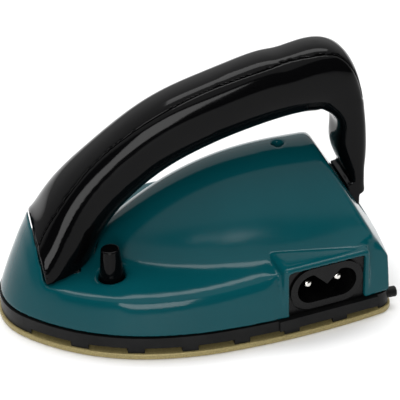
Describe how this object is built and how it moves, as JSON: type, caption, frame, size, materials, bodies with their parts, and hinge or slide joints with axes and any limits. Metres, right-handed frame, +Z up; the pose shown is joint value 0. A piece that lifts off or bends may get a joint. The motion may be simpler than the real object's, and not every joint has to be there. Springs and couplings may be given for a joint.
{
  "type": "travel clothes iron",
  "caption": "Compact electric iron with a pointed thin soleplate, a domed shell with a rear hump, an arched handle hinged at the heel, a release button and a figure-8 mains inlet.",
  "frame": {"origin": "centre of the bounding box in plan, at the soleplate's ironing face", "axes": "-X towards the nose, +X towards the heel, +Z up through the handle; the mains inlet is on the -Y side"},
  "size_m": [0.1034, 0.0682, 0.0684],
  "materials": {
    "gold": "fine satin gold non-stick coat",
    "mica": "split mica",
    "bright": "plain bright steel",
    "brass": "plain",
    "base": "satin heat-proof moulding",
    "sleeve": "woven glass sleeve",
    "lead": "silicone insulation",
    "teal": "polished",
    "inlet": "satin moulding",
    "pins": "nickel plated",
    "handle": "polished"
  },
  "bodies": {
    "iron": {"soleplate": "gold", "mica_sheets": "mica", "heating_ribbon": "bright", "clamp_plate": "bright", "clamp_screws": "bright", "base_ring": "base", "base_screws": "bright", "heel_pegs": "base", "thermostat_body": "bright", "thermostat_flange": "bright", "thermostat_tags": "brass", "thermal_fuse": "bright", "fuse_sleeve": "sleeve", "leads": "lead", "upper_shell": "teal", "crest_screw": "bright", "inlet_socket": "inlet", "inlet_pins": "pins", "hinge_pin": "bright", "button_spring": "bright", "latch_guide": "base"},
    "handle": {"handle_body": "handle", "handle_cover": "handle", "handle_screws": "bright", "catch_plate": "bright", "hinge_bushes": "brass"},
    "button": {"release_button": "handle", "button_clip": "bright"},
    "bolt": {"latch_bolt": "bright"}
  },
  "joints": [
    {"name": "handle_hinge", "type": "hinge", "parent": "iron", "child": "handle", "pos_m": [0.0451, 0, 0.0165], "axis": [0, 1, 0], "range_deg": [0, 25]},
    {"name": "button_push", "type": "slide", "parent": "iron", "child": "button", "axis": [0, 0, -1], "range_m": [0, 0.0025], "stiffness_N_per_m": 400, "springref_m": -0.001, "deforming": ["button_spring"]},
    {"name": "bolt_slide", "type": "slide", "parent": "iron", "child": "bolt", "axis": [1, 0, 0], "range_m": [0, 0.0015]}
  ],
  "couplings": [
    {"joint": "bolt_slide", "follows": "button_push", "ratio": 0.6}
  ]
}
